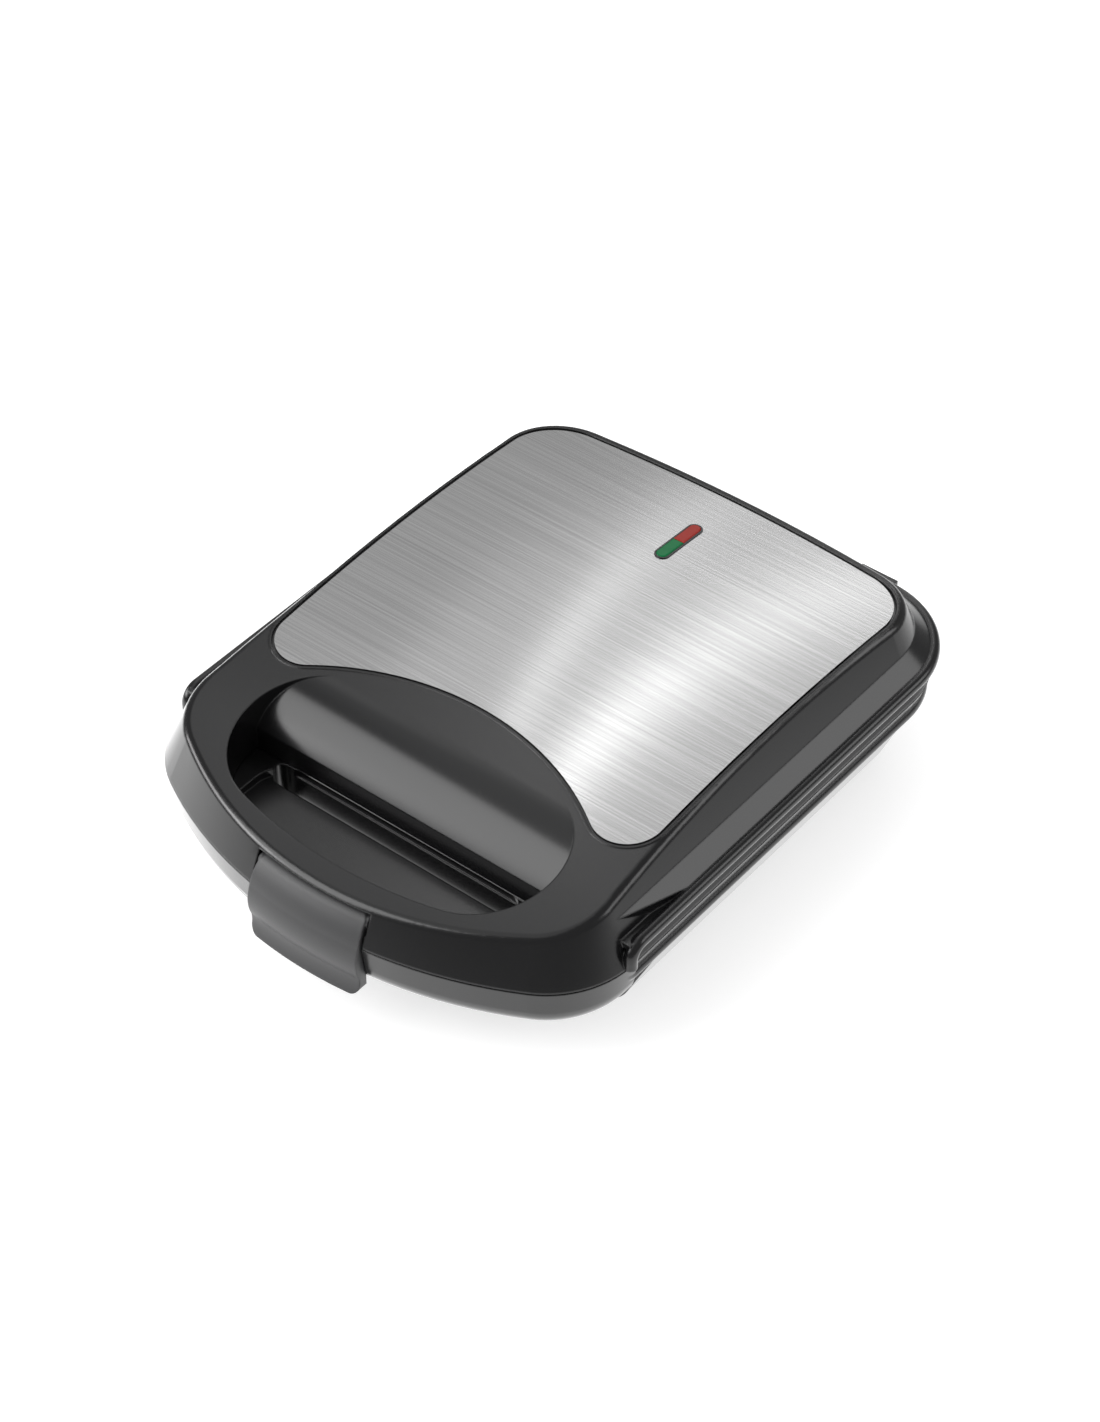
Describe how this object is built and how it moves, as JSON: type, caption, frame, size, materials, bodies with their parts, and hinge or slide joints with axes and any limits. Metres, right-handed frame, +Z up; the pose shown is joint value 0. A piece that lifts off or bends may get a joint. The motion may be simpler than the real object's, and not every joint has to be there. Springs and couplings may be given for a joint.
{
  "type": "donut maker",
  "caption": "Closed table-top donut maker: black lid hinged on a black base, brushed steel top panel, handle opening, front latch and ring-shaped cooking plates.",
  "frame": {"origin": "on the table, under the middle of the bounding box", "axes": "+X to the appliance's right as its user sees it from behind the latch, +Y from the latch to the hinge, +Z up"},
  "size_m": [0.2306, 0.303, 0.0823],
  "materials": {
    "black_abs": "satin black moulded plastic",
    "brushed_panel": "brushed from side to side",
    "dark_rim": "smooth black plastic",
    "green_lens": "clear green plastic",
    "red_lens": "clear red plastic",
    "lamp_glass": "small glass lamps",
    "grey_latch": "matt dark grey plastic",
    "zinc_steel": "zinc plated",
    "coated_aluminium": "cast aluminium with a dark non-stick coat",
    "element_steel": "steel tube, dulled by heat",
    "white_ceramic": null,
    "shield_aluminium": "bright aluminium sheet",
    "white_block": "white moulded block",
    "grey_rubber": "matt rubber"
  },
  "bodies": {
    "base": {"base_housing": "black_abs", "lower_plate_screws": "zinc_steel", "hinge_pins": "zinc_steel", "lower_plate": "coated_aluminium", "lower_heater": "element_steel", "lower_insulators": "white_ceramic", "lower_heater_clips": "zinc_steel", "lower_reflector": "shield_aluminium", "thermostat": "white_ceramic", "thermal_fuse": "zinc_steel", "terminal_block": "white_block", "cable_inlet": "dark_rim", "feet": "grey_rubber"},
    "lid": {"lid_housing": "black_abs", "steel_panel": "brushed_panel", "indicator_bezel": "dark_rim", "green_lens": "green_lens", "red_lens": "red_lens", "lamp_holder": "dark_rim", "neon_lamps": "lamp_glass", "lid_handle_cover": "black_abs", "lid_cover_screws": "zinc_steel", "latch_pin": "zinc_steel", "upper_plate": "coated_aluminium", "upper_heater": "element_steel", "upper_insulators": "white_ceramic", "upper_heater_clips": "zinc_steel", "upper_reflector": "shield_aluminium", "upper_plate_screws": "zinc_steel"},
    "latch": {"latch": "grey_latch"}
  },
  "joints": [
    {"name": "lid_hinge", "type": "hinge", "parent": "base", "child": "lid", "pos_m": [0, 0.1465, 0.04], "axis": [-1, 0, 0], "range_deg": [0, 100]},
    {"name": "latch_pivot", "type": "hinge", "parent": "lid", "child": "latch", "pos_m": [0, -0.1393, 0.0568], "axis": [-1, 0, 0], "range_deg": [0, 40]}
  ]
}
